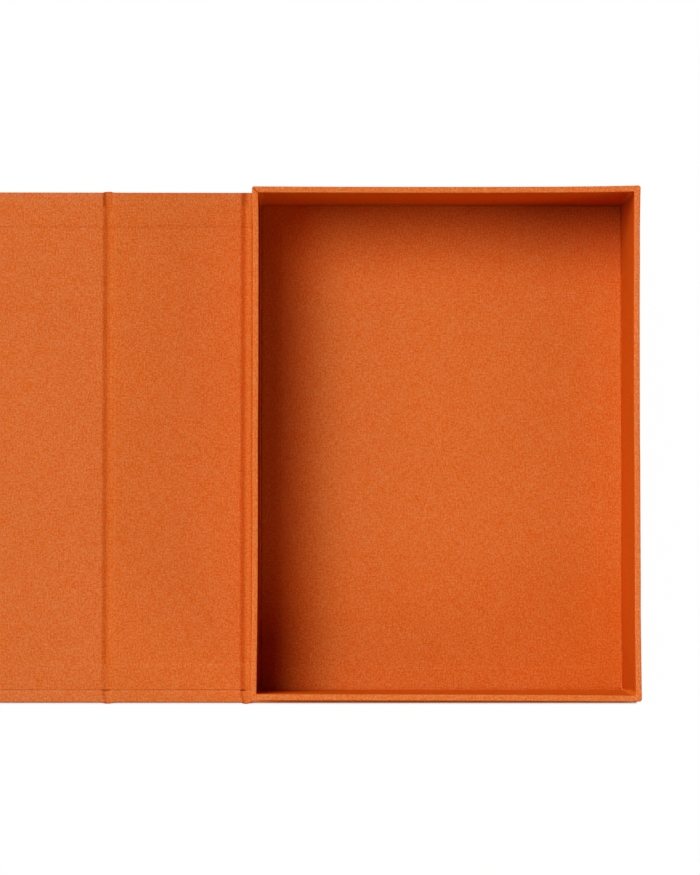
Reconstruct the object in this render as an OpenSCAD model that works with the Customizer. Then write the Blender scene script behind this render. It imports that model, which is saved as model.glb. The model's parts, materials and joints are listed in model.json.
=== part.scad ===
// Clamshell book box, lying open and flat.
// A cloth-covered tray is fixed to the back board of a three-board case.
// The spine folds up beside the tray and the front cover folds down over its rim.
// X runs from the front cover to the fore edge of the tray, Y from tail to head.
// The origin is on the table, under the middle of the tray.

/* [Tray] */
// Inside width of the tray, from the spine wall to the fore-edge wall
inner_w = 244; // [160:1:400]
// Inside length of the tray, from the tail wall to the head wall
inner_l = 325; // [200:1:460]
// Inside depth of the tray, from the floor lining to the rim
inner_d = 79; // [25:1:150]
// Thickness of the tray's boards
tray_board = 3; // [2:0.1:4]
// Width of the wrap turned in on the tray's floor
floor_turn_in = 14; // [6:0.5:30]
// Width of the wrap turned in under the tray
under_turn_in = 16; // [8:0.5:40]
// Gap between the floor lining and the walls
floor_lining_gap = 1.3; // [0.3:0.1:4]
// Rounding of the wrap over the rim and round the upright corners
rim_r = 0.8; // [0.5:0.05:1.2]

/* [Case] */
// Thickness of the case's boards
case_board = 3; // [2:0.1:4]
// How far the case stands past the tray at the head and at the tail
end_square = 5.5; // [2:0.5:10]
// How far the case stands past the tray at the fore edge
fore_square = 5.5; // [2:0.5:10]
// How far the back board stands past the tray at the spine
spine_square = 3; // [1:0.5:6]
// Rounding of the cloth round the edges of the case's boards
edge_r = 0.8; // [0.5:0.05:1.2]
// Width of the cloth turned in at the head
head_turn_in = 22; // [12:0.5:35]
// Width of the cloth turned in at the tail
tail_turn_in = 25; // [12:0.5:35]
// Width of the cloth turned in at the fore edge
fore_turn_in = 20; // [12:0.5:35]

/* [Cloth] */
// Thickness of the bookcloth with its glue
cloth = 0.5; // [0.3:0.05:0.7]
// Margin between the edges of the case's lining and the edges of the case
lining_margin = 9; // [4:0.5:12]
// How far the lining is tucked in under the tray
lining_tuck = 30; // [10:1:80]
// Run over which a lining climbs an edge of cloth that lies under it
lining_ramp = 1.5; // [0.5:0.1:4]
// Width of the open line where two mitred edges of cloth meet
seam_w = 0.3; // [0.1:0.05:0.6]
// Depth of that line
seam_depth = 0.2; // [0.1:0.05:0.25]

/* [Joints] */
// Width of each cloth joint, from board to board
joint_gap = 7.2; // [6.5:0.1:12]
// Room between the spine's lining and the back board when the box is shut
fold_clearance = 0.5; // [0.3:0.1:1]
// Room between the front cover's lining and the rim when the box is shut
lid_clearance = 0.3; // [0.2:0.1:2]
// Height of the arch of the outer cloth between two boards
joint_arch = 0.4; // [0.1:0.1:0.8]
// Depth of the groove that the lining makes between two boards
groove_depth = 2.2; // [1:0.1:2.4]
// How deep the turned-in cloth is pressed against the outer cloth in the groove
groove_pinch = 0.1; // [0.05:0.05:0.2]

/* [Hidden] */
$fn = 32;
// Number of straight steps across a joint's groove
joint_steps = 18;
// Overlength of cutting solids
spare = 2;

// Walls, panels and levels of the tray, with Z = 0 on the table
tray_wall = tray_board + 2 * cloth;
tray_w = inner_w + 2 * tray_wall;
tray_l = inner_l + 2 * tray_wall;
board_top = cloth + case_board;
panel_t = board_top + cloth;
lined_t = panel_t + cloth;
floor_z = panel_t + cloth;
floor_top = floor_z + tray_board;
rim_z = floor_top + cloth + inner_d;

// Outline of the case and of its linings
panel_l = tray_l + 2 * end_square;
board_l = panel_l - 2 * cloth;
lining_l = panel_l - 2 * lining_margin;
head_edge = panel_l / 2 - head_turn_in;
tail_edge = -panel_l / 2 + tail_turn_in;
back_x0 = -tray_w / 2 - spine_square;
back_x1 = tray_w / 2 + fore_square;

// The joints: each axis lies between the two layers of cloth in the groove.
// It is far enough from the broad panel for the narrow one to fold up beside it.
axis_z = cloth;
broad_reach = lined_t - axis_z + fold_clearance;
spine_reach = joint_gap - broad_reach;
shut_height = rim_z + lid_clearance + lined_t;
spine_w = shut_height - 2 * (spine_reach + axis_z);
spine_axis_x = back_x0 - broad_reach;
spine_x1 = spine_axis_x - spine_reach;
spine_x0 = spine_x1 - spine_w;
cover_axis_x = spine_x0 - spine_reach;
cover_x1 = cover_axis_x - broad_reach;
cover_x0 = cover_x1 - (back_x1 - back_x0);

cloth_colour = [0.84, 0.42, 0.19];
lining_colour = [0.86, 0.45, 0.22];
board_colour = [0.58, 0.55, 0.50];

// A block between two corners
module block(low, high) {
    translate(low)
        cube(high - low);
}

// A profile drawn in Y and Z, carried along X
module along_x(x0, x1) {
    translate([x0, 0, 0])
        rotate([90, 0, 90])
            linear_extrude(x1 - x0)
                children();
}

// A profile drawn in X and Z, carried along Y
module along_y(y0, y1) {
    translate([0, y1, 0])
        rotate([90, 0, 0])
            linear_extrude(y1 - y0)
                children();
}

// A rectangle with round corners
module round_rect(low, high, r) {
    translate([low.x + r, low.y])
        square([high.x - low.x - 2 * r, high.y - low.y]);
    translate([low.x, low.y + r])
        square([high.x - low.x, high.y - low.y - 2 * r]);
    for (x = [low.x + r, high.x - r], y = [low.y + r, high.y - r])
        translate([x, y])
            circle(r);
}

// The open line of a mitre, cut into a surface at height z from a corner along an angle
module mitre_line(corner, angle, length, z) {
    translate([corner.x, corner.y, z - seam_depth])
        rotate(angle)
            translate([0, -seam_w / 2, 0])
                cube([length, seam_w, seam_depth + spare]);
}

// Outline in X of the board inside a panel. The fore edge is at x0 for fore = -1, at x1 for
// fore = 1, and nowhere for fore = 0. The other ends are at joints, where no cloth is folded.
function board_x0(x0, fore) = fore < 0 ? x0 + cloth : x0;
function board_x1(x1, fore) = fore > 0 ? x1 - cloth : x1;

module case_board_panel(x0, x1, fore) {
    color(board_colour)
        block([board_x0(x0, fore), -board_l / 2, cloth],
              [board_x1(x1, fore), board_l / 2, board_top]);
}

// The space of a panel and its cloth, rounded at its free edges and cut square at its joints
module panel_space(x0, x1, fore) {
    low_x = fore < 0 ? x0 : x0 - spare;
    high_x = fore > 0 ? x1 : x1 + spare;
    intersection() {
        along_x(x0, x1)
            round_rect([-panel_l / 2, 0], [panel_l / 2, panel_t], edge_r);
        along_y(-panel_l / 2, panel_l / 2)
            round_rect([low_x, 0], [high_x, panel_t], edge_r);
        linear_extrude(panel_t)
            round_rect([low_x, -panel_l / 2], [high_x, panel_l / 2], edge_r);
    }
}

// Outer cloth of one panel: flat outside, folded round the free edges and turned in
module case_cloth(x0, x1, fore) {
    window_x0 = fore < 0 ? x0 + fore_turn_in : x0 - spare;
    window_x1 = fore > 0 ? x1 - fore_turn_in : x1 + spare;
    fore_x = fore < 0 ? x0 : x1;
    inward = fore < 0 ? 45 : 135;
    color(cloth_colour)
        difference() {
            panel_space(x0, x1, fore);
            case_board_panel(x0, x1, fore);
            block([window_x0, tail_edge, board_top], [window_x1, head_edge, panel_t + spare]);
            if (fore != 0) {
                mitre_line([fore_x, -panel_l / 2], inward, fore_turn_in * sqrt(2), panel_t);
                mitre_line([fore_x, panel_l / 2], -inward, fore_turn_in * sqrt(2), panel_t);
            }
        }
}

// Profile of what lies under a surface at height z that climbs by one cloth beyond each edge
// in the list: edges[0] on the low side and edges[1] on the high side, undef for no edge.
function stepped_profile(low, high, edges, z, base) = concat(
    [[low, base], [high, base]],
    is_undef(edges[1])
        ? [[high, z]]
        : [[high, z + cloth], [edges[1], z + cloth], [edges[1] - lining_ramp, z]],
    is_undef(edges[0])
        ? [[low, z]]
        : [[edges[0] + lining_ramp, z], [edges[0], z + cloth], [low, z + cloth]]
);

module stepped_mass(low, high, edges_x, edges_y, z, base) {
    along_y(low.y, high.y)
        polygon(stepped_profile(low.x, high.x, edges_x, z, base));
    along_x(low.x, high.x)
        polygon(stepped_profile(low.y, high.y, edges_y, z, base));
}

// A sheet of lining pasted at height z, climbing over the edges of the cloth under it
module lining_sheet(low, high, edges_x, edges_y, z) {
    wide = [spare, spare];
    color(lining_colour)
        difference() {
            stepped_mass(low, high, edges_x, edges_y, z + cloth, z);
            stepped_mass(low - wide, high + wide, edges_x, edges_y, z, z - spare);
        }
}

// Share of the groove's depth at t, where t runs from 0 at one board to 1 at the other
function hollow(t) = (1 - cos(360 * t)) / 2;
function arch(t) = joint_arch * hollow(t);
turn_in_dip = panel_t - joint_arch - 2 * cloth + groove_pinch;
function turned_top(t) = panel_t - turn_in_dip * hollow(t);

// A band across a joint between two heights given as functions of t, carried along Y
module joint_band(x0, y0, y1, low, high) {
    steps = [0:joint_steps];
    along_y(y0, y1)
        polygon(concat(
            [for (i = steps) [x0 + joint_gap * i / joint_steps, low(i / joint_steps)]],
            [for (i = steps) [x0 + joint_gap * (1 - i / joint_steps), high(1 - i / joint_steps)]]
        ));
}

// The cloth that bends between two boards: outer layer, turned-in layers and folded ends
module joint_cloth(x0) {
    color(cloth_colour) {
        joint_band(x0, -panel_l / 2, panel_l / 2, function(t) arch(t), function(t) arch(t) + cloth);
        for (span = [[-panel_l / 2, tail_edge], [head_edge, panel_l / 2]])
            joint_band(x0, span[0], span[1], function(t) turned_top(t) - cloth, function(t) turned_top(t));
        for (y = [-panel_l / 2, panel_l / 2 - cloth])
            joint_band(x0, y, y + cloth, function(t) arch(t), function(t) turned_top(t));
    }
}

// Climb of the case's lining over the turned-in cloth at y
function lining_rise(y) =
    cloth * max(0, min(1, 1 - (head_edge - y) / lining_ramp), min(1, 1 - (y - tail_edge) / lining_ramp));

// The lining that bends between two boards: one sheet that dips into the groove
module joint_lining(x0) {
    ys = [-lining_l / 2, tail_edge, tail_edge + lining_ramp,
          head_edge - lining_ramp, head_edge, lining_l / 2];
    rows = len(ys);
    columns = joint_steps + 1;
    function point(i, y, z) = [
        x0 + joint_gap * i / joint_steps,
        y,
        z + lining_rise(y) - groove_depth * hollow(i / joint_steps)
    ];
    lower = [for (i = [0:joint_steps], y = ys) point(i, y, board_top)];
    upper = [for (i = [0:joint_steps], y = ys) point(i, y, panel_t)];
    n = rows * columns;
    color(lining_colour)
        polyhedron(
            points = concat(lower, upper),
            faces = concat(
                [for (i = [0:columns - 2], j = [0:rows - 2])
                    [i * rows + j, (i + 1) * rows + j, (i + 1) * rows + j + 1, i * rows + j + 1]],
                [for (i = [0:columns - 2], j = [0:rows - 2])
                    [n + i * rows + j, n + i * rows + j + 1,
                     n + (i + 1) * rows + j + 1, n + (i + 1) * rows + j]],
                [for (i = [0:columns - 2], j = [0, rows - 1])
                    j == 0
                        ? [i * rows, n + i * rows, n + (i + 1) * rows, (i + 1) * rows]
                        : [i * rows + j, (i + 1) * rows + j, n + (i + 1) * rows + j, n + i * rows + j]],
                [for (i = [0, columns - 1], j = [0:rows - 2])
                    i == 0
                        ? [j, j + 1, n + j + 1, n + j]
                        : [i * rows + j, n + i * rows + j, n + i * rows + j + 1, i * rows + j + 1]]
            )
        );
}

// Front cover
module front_board() {
    case_board_panel(cover_x0, cover_x1, -1);
}

module front_cover_cloth() {
    case_cloth(cover_x0, cover_x1, -1);
}

module front_lining() {
    lining_sheet(
        [cover_x0 + lining_margin, -lining_l / 2], [cover_x1, lining_l / 2],
        [cover_x0 + fore_turn_in, undef], [tail_edge, head_edge], board_top
    );
}

module cover_joint_cloth() {
    joint_cloth(cover_x1);
}

module cover_joint_lining() {
    joint_lining(cover_x1);
}

// Spine
module spine_board() {
    case_board_panel(spine_x0, spine_x1, 0);
}

module spine_cover_cloth() {
    case_cloth(spine_x0, spine_x1, 0);
}

module spine_lining() {
    lining_sheet(
        [spine_x0, -lining_l / 2], [spine_x1, lining_l / 2],
        [undef, undef], [tail_edge, head_edge], board_top
    );
}

module spine_joint_cloth() {
    joint_cloth(spine_x1);
}

module spine_joint_lining() {
    joint_lining(spine_x1);
}

// Back board, which carries the tray
module back_board() {
    case_board_panel(back_x0, back_x1, 1);
}

module back_cover_cloth() {
    case_cloth(back_x0, back_x1, 1);
}

// Beside the tray the lining is as long as the rest. Under the tray it lies between the turn-ins.
module back_lining() {
    lining_sheet(
        [back_x0, -lining_l / 2], [-tray_w / 2, lining_l / 2],
        [undef, undef], [tail_edge, head_edge], board_top
    );
    color(lining_colour)
        block([-tray_w / 2, tail_edge + lining_ramp, board_top],
              [-tray_w / 2 + lining_tuck, head_edge - lining_ramp, panel_t]);
}

// Boards of the tray: the end walls run across, the side walls stand between them
module tray_floor_board() {
    color(board_colour)
        block([-inner_w / 2 - cloth, -inner_l / 2 - cloth, floor_z],
              [inner_w / 2 + cloth, inner_l / 2 + cloth, floor_top]);
}

module end_wall_board() {
    color(board_colour)
        block([-tray_w / 2 + cloth, inner_l / 2 + cloth, floor_z],
              [tray_w / 2 - cloth, tray_l / 2 - cloth, rim_z - cloth]);
}

module side_wall_board() {
    color(board_colour)
        block([inner_w / 2 + cloth, -inner_l / 2 - cloth, floor_z],
              [tray_w / 2 - cloth, inner_l / 2 + cloth, rim_z - cloth]);
}

module head_wall_board() {
    end_wall_board();
}

module tail_wall_board() {
    mirror([0, 1, 0])
        end_wall_board();
}

module spine_wall_board() {
    mirror([1, 0, 0])
        side_wall_board();
}

module fore_edge_wall_board() {
    side_wall_board();
}

// Section of the wrap through a wall, with the outer face at 0 and the tray beyond
module wrap_section() {
    difference() {
        union() {
            intersection() {
                round_rect([0, panel_t - spare], [tray_wall, rim_z], rim_r);
                translate([0, panel_t])
                    square([tray_wall, rim_z - panel_t]);
            }
            translate([tray_wall - cloth, floor_top])
                square([floor_turn_in + cloth, cloth]);
            translate([0, panel_t])
                square([under_turn_in, cloth]);
        }
        translate([cloth, floor_z])
            square([tray_board, rim_z - cloth - floor_z]);
        translate([cloth, floor_z])
            square([tray_wall, tray_board]);
    }
}

// Wrap of one wall, whose outer face is at X = half_w, mitred at both ends
module wrapped_wall(half_w, half_l) {
    reach = max(under_turn_in, tray_wall + floor_turn_in) + spare;
    intersection() {
        translate([half_w, 0, 0])
            mirror([1, 0, 0])
                along_y(-half_l, half_l)
                    wrap_section();
        linear_extrude(rim_z + spare)
            polygon([
                [half_w + spare, -half_l - spare], [half_w + spare, half_l + spare],
                [half_w - reach, half_l - reach], [half_w - reach, -half_l + reach]
            ]);
    }
}

module tray_wrap_cloth() {
    color(cloth_colour)
        difference() {
            intersection() {
                union() {
                    for (side = [0, 1])
                        mirror([side, 0, 0])
                            wrapped_wall(tray_w / 2, tray_l / 2);
                    for (side = [0, 1])
                        mirror([0, side, 0])
                            rotate(90)
                                wrapped_wall(tray_l / 2, tray_w / 2);
                }
                linear_extrude(rim_z + spare)
                    round_rect([-tray_w / 2, -tray_l / 2], [tray_w / 2, tray_l / 2], rim_r);
            }
            for (x = [-1, 1], y = [-1, 1])
                mitre_line([x * tray_w / 2, y * tray_l / 2], atan2(-y, -x), tray_wall * sqrt(2), rim_z);
        }
}

module tray_floor_lining() {
    half = [inner_w / 2 - floor_lining_gap, inner_l / 2 - floor_lining_gap];
    edge = [inner_w / 2 - floor_turn_in, inner_l / 2 - floor_turn_in];
    lining_sheet(-half, half, [-edge.x, edge.x], [-edge.y, edge.y], floor_top);
}

front_board();
front_cover_cloth();
front_lining();
cover_joint_cloth();
cover_joint_lining();
spine_board();
spine_cover_cloth();
spine_lining();
spine_joint_cloth();
spine_joint_lining();
back_board();
back_cover_cloth();
back_lining();
tray_floor_board();
head_wall_board();
tail_wall_board();
spine_wall_board();
fore_edge_wall_board();
tray_wrap_cloth();
tray_floor_lining();
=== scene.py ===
import json
import math

import bmesh
import bpy
from mathutils import Matrix, Vector, noise


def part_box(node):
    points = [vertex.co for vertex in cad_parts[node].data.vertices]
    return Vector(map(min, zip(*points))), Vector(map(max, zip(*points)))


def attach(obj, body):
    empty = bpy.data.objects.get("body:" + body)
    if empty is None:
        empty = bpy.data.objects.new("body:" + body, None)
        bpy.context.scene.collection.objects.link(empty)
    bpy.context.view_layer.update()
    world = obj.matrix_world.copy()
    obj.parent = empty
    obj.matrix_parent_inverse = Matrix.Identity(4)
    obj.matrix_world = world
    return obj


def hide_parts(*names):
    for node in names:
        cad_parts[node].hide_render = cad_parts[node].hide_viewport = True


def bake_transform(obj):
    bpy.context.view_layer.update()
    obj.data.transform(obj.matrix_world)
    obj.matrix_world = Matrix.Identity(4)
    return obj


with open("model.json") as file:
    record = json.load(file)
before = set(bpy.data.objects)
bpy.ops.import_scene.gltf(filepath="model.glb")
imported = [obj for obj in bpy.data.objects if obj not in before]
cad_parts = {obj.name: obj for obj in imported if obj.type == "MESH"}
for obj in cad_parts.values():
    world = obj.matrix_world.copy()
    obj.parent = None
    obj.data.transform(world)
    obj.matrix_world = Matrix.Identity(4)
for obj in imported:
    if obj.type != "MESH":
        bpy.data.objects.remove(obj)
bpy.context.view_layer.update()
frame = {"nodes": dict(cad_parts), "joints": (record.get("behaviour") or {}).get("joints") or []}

# Looks of the clamshell book box. Lengths are in metres; MM turns millimetres into metres.
MM = 0.001

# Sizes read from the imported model
TRAY_LOW, TRAY_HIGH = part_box("tray_wrap_cloth")
BACK_LOW, BACK_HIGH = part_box("back_cover_cloth")
SPINE_LOW, SPINE_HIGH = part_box("spine_cover_cloth")
FRONT_LOW, FRONT_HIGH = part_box("front_cover_cloth")
FRONT_LINING_LOW, FRONT_LINING_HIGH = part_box("front_lining")
BACK_LINING_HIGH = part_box("back_lining")[1]
FLOOR_LINING_LOW, FLOOR_LINING_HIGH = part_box("tray_floor_lining")
WALL_LOW, WALL_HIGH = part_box("fore_edge_wall_board")
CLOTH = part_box("back_board")[0].z
PANEL_T = BACK_HIGH.z
PANEL_HALF_L = BACK_HIGH.y
LINING_HALF_L = FRONT_LINING_HIGH.y
RIM_Z = TRAY_HIGH.z
FLOOR_TOP = FLOOR_LINING_LOW.z
WALL_T = TRAY_HIGH.x - WALL_LOW.x + CLOTH
JOINTS = {joint["name"]: Vector(joint["pos_m"]) for joint in frame["joints"]}

# Sizes of the cloth's details, the same as in the model's source
HEAD_EDGE = PANEL_HALF_L - 22 * MM
TAIL_EDGE = -PANEL_HALF_L + 25 * MM
FORE_TURN_IN = 20 * MM
FLOOR_TURN_IN = 14 * MM
UNDER_TURN_IN = 16 * MM
HEAD_NARROWER = 0.6 * MM
RAMP = 2.3 * MM
TELEGRAPH = 0.52 * MM
FOOT = Vector((-0.45 * MM, 0.8 * MM, 0))
TAIL_FOOT = -0.5 * MM
TAIL_TRIM = 0.15 * MM
TAIL_SWELL = 0.3 * MM
SPINE_JOINT_SWELL = 0.45 * MM
CORNER_TRIM = 0.22 * MM
# Share of the strip's drop by which the head's edge moves out: at the cover's joint, at the spine's joint
HEAD_GIVE = (0.5, 0.15)
# Uneven places of the rim's fore edge: place along the edge, reach along it, depth in millimetres
FORE_DENTS = ((-0.66, 0.07, -0.13), (0.7, 0.08, 0.15))
# How far out from the lining's tail edge the painted highlight line lies
TAIL_HIGHLIGHT_OUT = 1.5 * MM
# Where the painted shade of the slit at the lining's tail edge shows in each joint: start, width, darkness
COVER_SLIT_SHADE = (0.4 * MM, 7 * MM, 1.2)
SPINE_SLIT_SHADE = (0.9 * MM, 4.6 * MM, 2.4)
# Share of each colour that is left where the cloth is seen from the side
ASIDE = (1.12, 0.68, 0.0)
EDGE_R = 0.8 * MM
TAIL_R = 1.2 * MM
ARCH = 0.4 * MM
# Radii of the rim's outer corners: fore edge head, spine head, spine tail, fore edge tail
CORNER_R = (1.6 * MM, 1.6 * MM, 1.1 * MM, 1.9 * MM)
SLACK = 3 * MM
# How the inner cloth lies in the joints: where its fall starts, widths of fall and rise, depth, depth at the rise's end
COVER_GROOVE = (-0.1 * MM, 4.3 * MM, 2.0 * MM, 1.05 * MM, 0.42 * MM)
SPINE_GROOVE = (0.4 * MM, 4.0 * MM, 2.6 * MM, 1.15 * MM, 0.3 * MM)
COVER_HEAD_GROOVE = (-0.1 * MM, 3.0 * MM, 1.1 * MM, 1.55 * MM, 0.28 * MM)
SPINE_HEAD_GROOVE = (0.5 * MM, 4.3 * MM, 1.5 * MM, 1.6 * MM, 0.28 * MM)
COVER_TAIL_GROOVE = (0.1 * MM, 3.1 * MM, 1.6 * MM, 0.8 * MM, 0.05 * MM)
SPINE_TAIL_GROOVE = (0.7 * MM, 2.1 * MM, 1.6 * MM, 0.9 * MM, 0.05 * MM)
TAIL_SWEEP = 2 * MM
# Share of each groove's depth that the lining loses over the tail's turned-in cloth
COVER_TAIL_LOSS = 0.42
SPINE_TAIL_LOSS = 0.12
LAPS = (("lap_fore_head", 1, 1), ("lap_spine_head", -1, 1), ("lap_spine_tail", -1, -1), ("lap_fore_tail", 1, -1))
GAPS = ((FRONT_HIGH.x, SPINE_LOW.x), (SPINE_HIGH.x, BACK_LOW.x))


def smooth(t):
    """Smooth step from 0 to 1."""
    t = min(1.0, max(0.0, t))
    return t * t * (3 - 2 * t)


def waver(x, y, z, length, height):
    """Gentle unevenness of the given wavelength and height."""
    return height * noise.noise(Vector((x, y, z)) / length)


def lines(low, high, step, fine=()):
    """Positions from low to high at about the given step, with closer ones round the places in fine.

    Each place is (centre, reach, step).
    """
    count = max(1, round((high - low) / step))
    found = [low + (high - low) * i / count for i in range(count + 1)]
    for centre, reach, small in fine:
        steps = round(reach / small)
        found = [p for p in found if abs(p - centre) > reach + small or p in (low, high)]
        found += [centre + small * i for i in range(-steps, steps + 1)]
    found = sorted(p for p in found if low <= p <= high)
    kept = [low]
    for p in found:
        if p - kept[-1] > 0.01 * MM:
            kept.append(p)
    if high - kept[-1] > 0.001 * MM:
        kept[-1] = high
    return kept


def add_piece(name, points, faces, body, nodes, slot):
    """A smooth mesh that rides on a body and stands for CAD nodes."""
    mesh = bpy.data.meshes.new(name)
    mesh.from_pydata(points, [], faces)
    mesh.update()
    piece = bpy.data.objects.new(name, mesh)
    bpy.context.scene.collection.objects.link(piece)
    dress(piece, body, nodes, slot)
    return piece


def dress(piece, body, nodes, slot, aside_and_painted_light=None):
    """Shading, cloth coordinates, material and place in the frame of a finished piece."""
    mesh = piece.data
    for polygon in mesh.polygons:
        polygon.use_smooth = True
    mesh.set_sharp_from_angle(angle=math.radians(50))
    lay_weave(mesh)
    lay_colour(mesh, "tone_and_painted_light", tone_and_painted_light_at)
    lay_colour(mesh, "aside_and_painted_light", aside_and_painted_light or aside_and_painted_light_at)
    mesh.materials.clear()
    mesh.materials.append(MATERIALS[slot])
    if body:
        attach(piece, body)
    if nodes:
        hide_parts(*nodes)


def lay_weave(mesh):
    """Cloth coordinates in metres: each face takes the two axes that it faces least."""
    layer = mesh.uv_layers.new(name="weave")
    for polygon in mesh.polygons:
        n = polygon.normal
        a, b = abs(n.x), abs(n.y)
        if abs(n.z) >= max(a, b):
            u, v = 0, 1
        elif a > b:
            u, v = 2, 1
        else:
            u, v = 0, 2
        for loop in polygon.loop_indices:
            p = mesh.vertices[mesh.loops[loop].vertex_index].co
            layer.data[loop].uv = (p[u], p[v])


def lay_colour(mesh, name, colour_at):
    """Stores three factors for the cloth's red, green and blue at each point."""
    layer = mesh.attributes.new(name, "FLOAT_VECTOR", "POINT")
    for index, vertex in enumerate(mesh.vertices):
        layer.data[index].vector = colour_at(vertex.co)


def along_tray(p):
    """Place along the tray: 0 to 1 from the spine side to the fore edge, and 0 to 1 from head to tail."""
    across = (p.x - TRAY_LOW.x) / (TRAY_HIGH.x - TRAY_LOW.x)
    down = (TRAY_HIGH.y - p.y) / (TRAY_HIGH.y - TRAY_LOW.y)
    return across, down


def in_tray(p):
    """Whether a point lies on the tray's inner side."""
    half_w, half_l = TRAY_HIGH.x - WALL_T / 2, TRAY_HIGH.y - WALL_T / 2
    return abs(p.x) < half_w and abs(p.y) < half_l and p.z > FLOOR_TOP - 0.1 * MM


def tone_and_painted_light_at(p):
    """Colour factors that hold painted light and shade: deeper on the spine and towards the tray's fore edge and tail,
    paler along the rim as a painted highlight.
    """
    if p.x < TRAY_LOW.x - 0.2 * MM or p.z < TRAY_LOW.z:
        return case_tone_and_painted_light(p)
    if p.z > RIM_Z - 1.5 * MM:
        return rim_painted_light(p)
    if in_tray(p) and p.z < FLOOR_TOP + 3 * MM:
        return floor_painted_light(p)
    # Inner walls: less blue, painted as the deep saturated shade between the tray's walls
    return (1, 1, 0.75) if in_tray(p) else (1, 1, 1)


def sheet_shift(y):
    """How far the floor's sheet lies nearer to the fore edge than in the model."""
    return (0.3 + 0.3 * smooth((y / TRAY_LOW.y - 0.7) / 0.2)) * MM


def floor_painted_light(p):
    """The tray's floor, all painted light and shade: deeper in green and blue towards the walls, above all at head and
    tail, with painted red light beside the spine side's wall and painted highlights on the sheet's edges.
    """
    across, down = along_tray(p)
    right = across ** 3
    low = smooth((down - 0.63) / 0.22)
    corner = right * low
    head = 1 - smooth(down / 0.24)
    left = (1 - across) ** 2 * low
    # Beside the spine side's wall: painted shade, deeper in green and blue, and painted red light thrown from that wall
    near = smooth(2.5 - across / 0.08)
    lit = smooth(1 - across / 0.19) * (1 - 1.6 * head)
    # At the sheet's fore edge and tail corner: painted highlights where its edge rises, painted shade in the gap beyond
    # it
    past = p.x - FLOOR_LINING_HIGH.x - sheet_shift(p.y)
    beyond = smooth((past - 0.25 * MM) / (0.2 * MM))
    ridge_highlight = 0.1 * smooth(past / (0.8 * MM) + 1) * (1 - beyond)
    lifted_highlight = smooth(past / (1.1 * MM) + 1) * (1 - beyond) * smooth((down - 0.966) / 0.005)
    # At the sheet's head edge: a painted highlight on the edge and painted shade in the gap towards the head wall
    inwards = (FLOOR_LINING_HIGH.y - p.y) / MM
    crease_shade = smooth((-0.85 - inwards) / 0.3) * smooth(across / 0.25)
    lining_edge_highlight = math.exp(-((inwards + 0.55) / 0.3) ** 2)
    red = 1.04 - 0.06 * right - 0.02 * low - 0.03 * corner + 0.08 * left + 0.1 * lit + 0.3 * ridge_highlight
    red += 0.23 * lifted_highlight + 0.07 * lining_edge_highlight - 0.08 * right * head - 0.18 * crease_shade
    red -= 0.07 * smooth(2 - across / 0.025) - 0.05 * beyond
    green = 1.03 - 0.14 * right - 0.1 * low - 0.03 * corner - (0.22 + 0.16 * right) * head
    green += 0.05 * left - 0.19 * near + ridge_highlight + 0.42 * lifted_highlight + 0.08 * lining_edge_highlight - 0.15 * beyond
    blue = 0.94 - 0.3 * right - 0.2 * low - 0.05 * corner - 0.36 * head - 0.32 * near + 2 * ridge_highlight + 0.9 * lifted_highlight
    blue -= 0.45 * beyond
    return (red, green, max(0.1, blue))


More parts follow.
